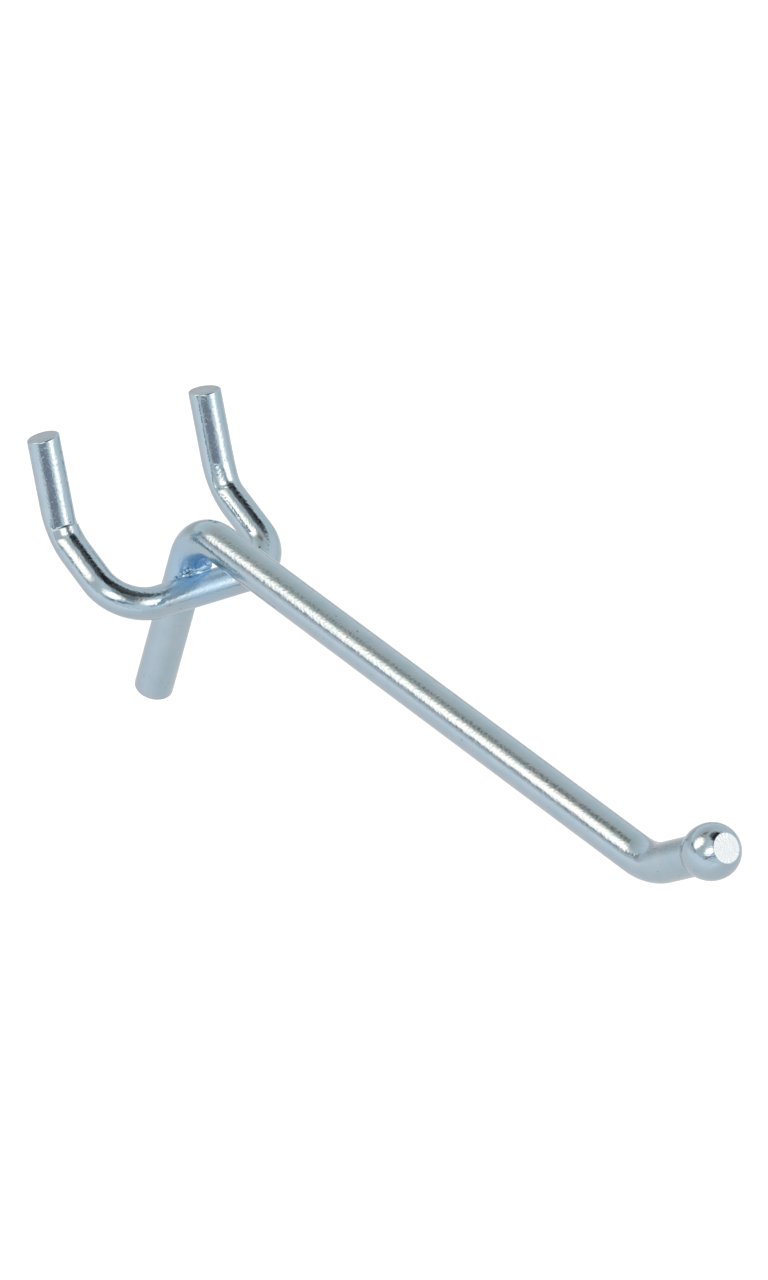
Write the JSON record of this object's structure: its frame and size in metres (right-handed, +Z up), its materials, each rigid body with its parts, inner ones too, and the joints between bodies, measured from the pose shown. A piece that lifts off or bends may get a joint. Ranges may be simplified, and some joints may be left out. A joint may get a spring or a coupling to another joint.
{
  "type": "pegboard hook",
  "caption": "Zinc-plated wire pegboard hook: welded hanger with prongs that hook behind the board, a brace, and an upsloping arm with an upturned ball end.",
  "frame": {"origin": "on the front face of the board, midway between its two holes, where the axes of the hook's legs pass through that face", "axes": "+Z up, +Y into the board, -Y along the arm to the front, +X across from one prong to the other"},
  "size_m": [0.0296, 0.1215, 0.0604],
  "materials": {
    "zinc_plate": "satin"
  },
  "bodies": {
    "root": {"hanger_wire": "zinc_plate", "arm_wire": "zinc_plate"}
  },
  "joints": []
}
